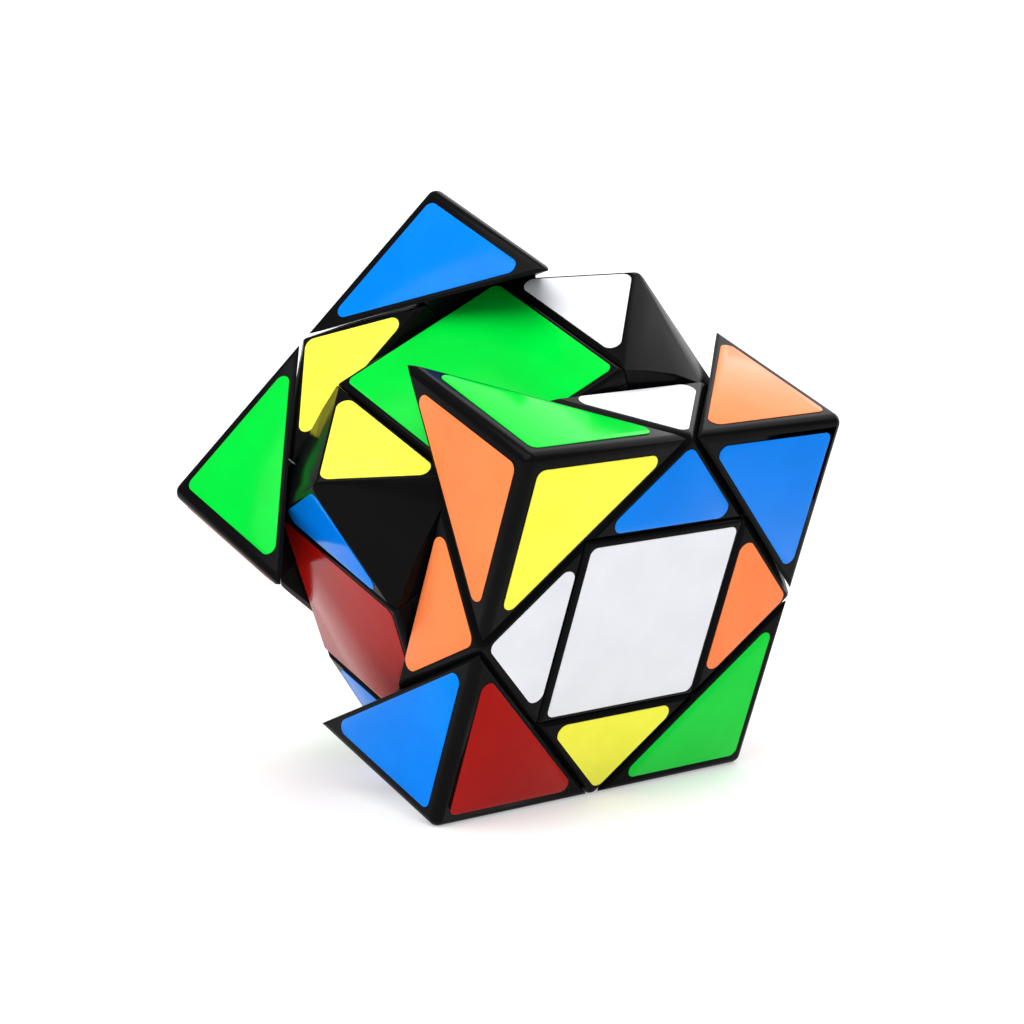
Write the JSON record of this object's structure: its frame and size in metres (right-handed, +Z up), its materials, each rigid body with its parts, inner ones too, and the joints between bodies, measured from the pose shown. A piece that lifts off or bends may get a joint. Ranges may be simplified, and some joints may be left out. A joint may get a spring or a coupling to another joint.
{
  "type": "twisty puzzle",
  "caption": "Cube-shaped face-turning puzzle with square centres and triangular edge and corner pieces; two outer layers turn on a core.",
  "frame": {"origin": "on the floor under the middle of the bounding box", "axes": "+Z up from the floor it stands on; the front face looks towards -Y and down; the layers turn about the core axis in the YZ plane"},
  "size_m": [0.0788, 0.0766, 0.0829],
  "materials": {
    "shell_plastic": "gloss black moulded plastic",
    "inner_plastic": "satin black moulded plastic",
    "fastener_steel": "zinc-plated steel",
    "spring_steel": "drawn spring wire",
    "sticker_white": "gloss vinyl film",
    "sticker_yellow": "gloss vinyl film",
    "sticker_orange": "gloss vinyl film",
    "sticker_red": "gloss vinyl film",
    "sticker_green": "gloss vinyl film",
    "sticker_blue": "gloss vinyl film"
  },
  "bodies": {
    "middle_slice": {"axis_screws": "fastener_steel", "axis_springs": "spring_steel", "axis_washers": "fastener_steel", "centre_base_d": "inner_plastic", "centre_base_l": "inner_plastic", "centre_base_r": "inner_plastic", "centre_base_u": "inner_plastic", "centre_cap_d": "shell_plastic", "centre_cap_l": "shell_plastic", "centre_cap_r": "shell_plastic", "centre_cap_u": "shell_plastic", "core": "inner_plastic", "edge_shell_dl": "shell_plastic", "edge_shell_dr": "shell_plastic", "edge_shell_ul": "shell_plastic", "edge_shell_ur": "shell_plastic", "middle_edge_feet": "inner_plastic", "middle_stickers_blue": "sticker_blue", "middle_stickers_green": "sticker_green", "middle_stickers_orange": "sticker_orange", "middle_stickers_red": "sticker_red", "middle_stickers_white": "sticker_white", "middle_stickers_yellow": "sticker_yellow"},
    "front_layer": {"centre_base_f": "inner_plastic", "centre_cap_f": "shell_plastic", "corner_shell_dfl": "shell_plastic", "corner_shell_dfr": "shell_plastic", "corner_shell_ufl": "shell_plastic", "corner_shell_ufr": "shell_plastic", "edge_shell_df": "shell_plastic", "edge_shell_fl": "shell_plastic", "edge_shell_fr": "shell_plastic", "edge_shell_uf": "shell_plastic", "front_corner_feet": "inner_plastic", "front_edge_feet": "inner_plastic", "front_stickers_blue": "sticker_blue", "front_stickers_green": "sticker_green", "front_stickers_orange": "sticker_orange", "front_stickers_red": "sticker_red", "front_stickers_white": "sticker_white", "front_stickers_yellow": "sticker_yellow"},
    "back_layer": {"back_corner_feet": "inner_plastic", "back_edge_feet": "inner_plastic", "back_stickers_blue": "sticker_blue", "back_stickers_green": "sticker_green", "back_stickers_orange": "sticker_orange", "back_stickers_red": "sticker_red", "back_stickers_white": "sticker_white", "back_stickers_yellow": "sticker_yellow", "centre_base_b": "inner_plastic", "centre_cap_b": "shell_plastic", "corner_shell_dbl": "shell_plastic", "corner_shell_dbr": "shell_plastic", "corner_shell_ubl": "shell_plastic", "corner_shell_ubr": "shell_plastic", "edge_shell_bl": "shell_plastic", "edge_shell_br": "shell_plastic", "edge_shell_db": "shell_plastic", "edge_shell_ub": "shell_plastic"}
  },
  "joints": [
    {"name": "front_turn", "type": "hinge", "parent": "middle_slice", "child": "front_layer", "pos_m": [0, -0.00194, 0.03636], "axis": [0, -0.9341, -0.3569], "continuous": true},
    {"name": "back_turn", "type": "hinge", "parent": "middle_slice", "child": "back_layer", "pos_m": [0, -0.00194, 0.03636], "axis": [0, -0.9341, -0.3569], "continuous": true}
  ]
}
